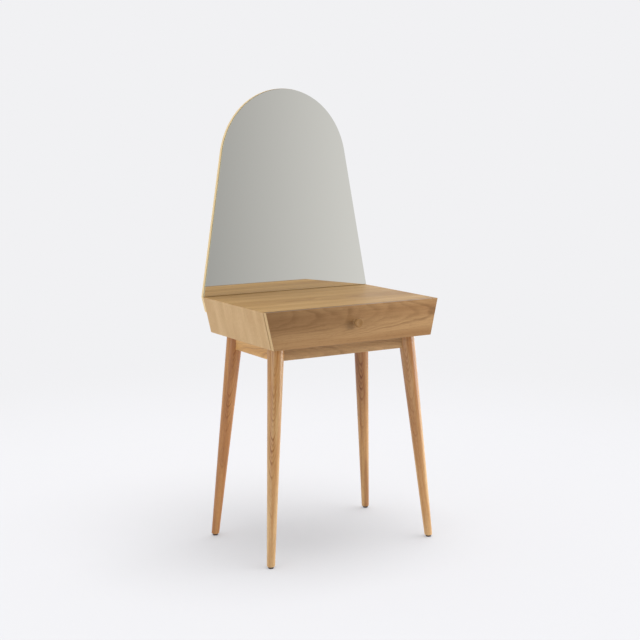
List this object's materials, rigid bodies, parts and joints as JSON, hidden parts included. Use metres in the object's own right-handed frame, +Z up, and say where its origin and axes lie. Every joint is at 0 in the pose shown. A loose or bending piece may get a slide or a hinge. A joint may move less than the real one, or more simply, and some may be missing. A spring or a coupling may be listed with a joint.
{
  "type": "salon styling station",
  "caption": "Oak dressing table with a slant-sided case, one drawer with a round knob, round splayed legs and a tall arched mirror on a backboard.",
  "frame": {"origin": "on the floor, under the middle of the overall width and depth (knob face to the mirror board's top)", "axes": "+X to the right of a person facing the mirror, +Y from the drawer front to the mirror, +Z up"},
  "size_m": [0.6, 0.4598, 1.3997],
  "materials": {
    "oak_veneer": "satin lacquered oak veneer",
    "oak_veneer_board": "oak veneered board, lacquered",
    "solid_oak": "satin lacquered solid oak",
    "beech": "planed, unfinished",
    "plywood": "sanded birch plywood",
    "drawer_board": "sanded hardwood",
    "silvered_glass": "polished silvered glass",
    "foam_tape": "double-sided foam",
    "glide_plastic": "dark brown moulded nylon",
    "zinc_steel": "bright zinc plated",
    "coated_steel": "white epoxy coated sheet",
    "nylon": "white nylon"
  },
  "bodies": {
    "station": {"apron_rail_back": "solid_oak", "apron_rail_front": "solid_oak", "apron_rail_left": "solid_oak", "apron_rail_right": "solid_oak", "back_panel": "oak_veneer_board", "back_panel_dowels": "beech", "batten_screws": "zinc_steel", "bottom_panel": "oak_veneer_board", "case_roller_axles": "zinc_steel", "corner_block_back_left": "beech", "corner_block_back_right": "beech", "corner_block_front_left": "beech", "corner_block_front_right": "beech", "foot_glide_back_left": "glide_plastic", "foot_glide_back_right": "glide_plastic", "foot_glide_front_left": "glide_plastic", "foot_glide_front_right": "glide_plastic", "frame_screws": "zinc_steel", "leg_back_left": "solid_oak", "leg_back_right": "solid_oak", "leg_bolts": "zinc_steel", "leg_front_left": "solid_oak", "leg_front_right": "solid_oak", "mirror_backboard": "oak_veneer_board", "mirror_glass": "silvered_glass", "mirror_screws": "zinc_steel", "mirror_tape": "foam_tape", "runner_batten_left": "beech", "runner_batten_right": "beech", "runner_case_member_left": "coated_steel", "runner_case_member_right": "coated_steel", "runner_case_screws": "zinc_steel", "side_panel_left": "oak_veneer", "side_panel_right": "oak_veneer", "tabletop": "oak_veneer"},
    "drawer": {"drawer_back": "drawer_board", "drawer_bottom": "plywood", "drawer_box_front": "drawer_board", "drawer_dowels": "beech", "drawer_front": "oak_veneer", "drawer_front_screws": "zinc_steel", "drawer_roller_axles": "zinc_steel", "drawer_side_left": "drawer_board", "drawer_side_right": "drawer_board", "knob": "solid_oak", "knob_screw": "zinc_steel", "runner_drawer_member_left": "coated_steel", "runner_drawer_member_right": "coated_steel", "runner_drawer_screws": "zinc_steel"},
    "case_roller_left": {"case_roller_left": "nylon"},
    "case_roller_right": {"case_roller_right": "nylon"},
    "drawer_roller_left": {"drawer_roller_left": "nylon"},
    "drawer_roller_right": {"drawer_roller_right": "nylon"}
  },
  "joints": [
    {"name": "drawer_slide", "type": "slide", "parent": "station", "child": "drawer", "axis": [0, -1, 0], "range_m": [0, 0.26]},
    {"name": "case_roller_left_spin", "type": "hinge", "parent": "station", "child": "case_roller_left", "pos_m": [-0.23963, -0.17343, 0.6902], "axis": [1, 0, 0], "range_deg": [0, 2030]},
    {"name": "case_roller_right_spin", "type": "hinge", "parent": "station", "child": "case_roller_right", "pos_m": [0.23963, -0.17343, 0.6902], "axis": [1, 0, 0], "range_deg": [0, 2030]},
    {"name": "drawer_roller_left_spin", "type": "hinge", "parent": "drawer", "child": "drawer_roller_left", "pos_m": [-0.23963, 0.14057, 0.6908], "axis": [1, 0, 0], "range_deg": [0, 1600]},
    {"name": "drawer_roller_right_spin", "type": "hinge", "parent": "drawer", "child": "drawer_roller_right", "pos_m": [0.23963, 0.14057, 0.6908], "axis": [1, 0, 0], "range_deg": [0, 1600]}
  ],
  "couplings": [
    {"joint": "case_roller_left_spin", "follows": "drawer_slide", "rad_per_m": 135.14},
    {"joint": "case_roller_right_spin", "follows": "drawer_slide", "rad_per_m": 135.14},
    {"joint": "drawer_roller_left_spin", "follows": "drawer_slide", "rad_per_m": 106.38},
    {"joint": "drawer_roller_right_spin", "follows": "drawer_slide", "rad_per_m": 106.38}
  ]
}
